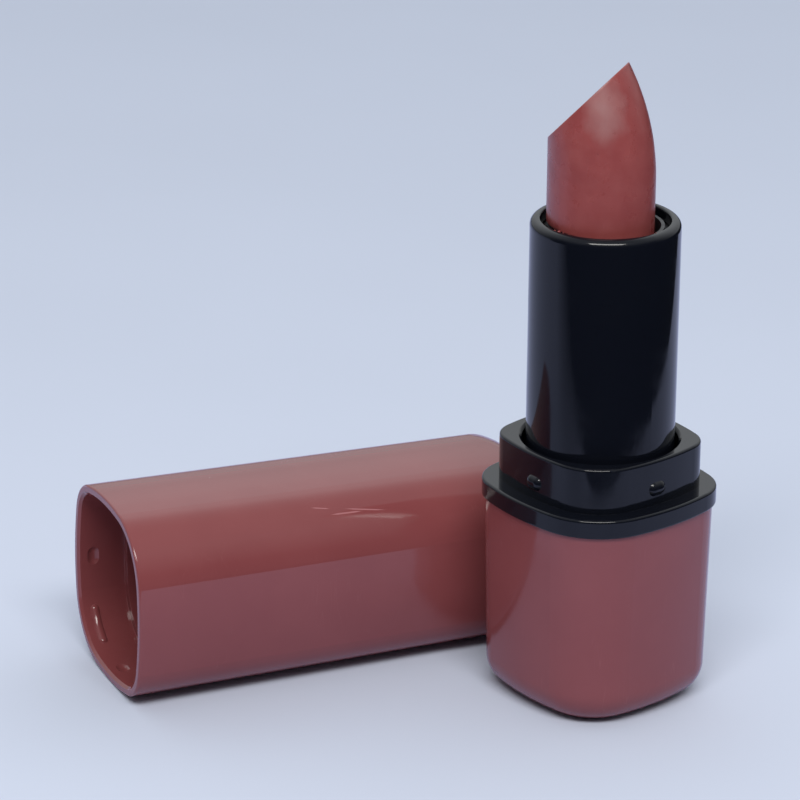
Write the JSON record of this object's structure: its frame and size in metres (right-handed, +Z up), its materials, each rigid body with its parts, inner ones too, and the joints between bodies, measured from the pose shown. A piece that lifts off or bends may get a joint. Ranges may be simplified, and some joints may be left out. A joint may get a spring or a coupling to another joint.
{
  "type": "lipstick case",
  "caption": "Swivel-up lipstick case, rounded square base and cap with bowed sides, black round tube and raised slanted bullet; cap lies beside it.",
  "frame": {"origin": "centre of the base's flat underside", "axes": "+Z up along the bullet's axis; X and Y square to the base's sides; the wide-radius corners point to +X-Y and -X+Y"},
  "size_m": [0.0574, 0.057, 0.0736],
  "materials": {
    "mauve_plastic": "gloss",
    "black_plastic": "gloss",
    "mechanism_plastic": "satin",
    "cam_plastic": "satin",
    "lipstick": "satin",
    "silicone": "matte",
    "steel": "satin",
    "label": "matte"
  },
  "bodies": {
    "case": {"base_shell": "mauve_plastic", "base_weight": "steel", "shade_label": "label", "collar_insert": "black_plastic", "fork_tube": "mechanism_plastic", "damper_ring": "silicone"},
    "swivel": {"outer_tube": "black_plastic", "spiral_cam": "cam_plastic"},
    "carrier": {"bullet_cup": "mechanism_plastic", "bullet": "lipstick"},
    "cap": {"cap_shell": "mauve_plastic"}
  },
  "joints": [
    {"name": "twist", "type": "hinge", "parent": "case", "child": "swivel", "pos_m": [0, 0, 0.0416], "axis": [0, 0, 1], "range_deg": [0, 432]},
    {"name": "lift", "type": "slide", "parent": "case", "child": "carrier", "axis": [0, 0, 1], "range_m": [-0.0192, 0]},
    {"name": "cap_pull", "type": "slide", "parent": "case", "child": "cap", "axis": [-0.2672, -0.9636, 0], "range_m": [0, 0.05]}
  ],
  "couplings": [
    {"joint": "twist", "follows": "lift", "rad_per_m": -392.69}
  ]
}
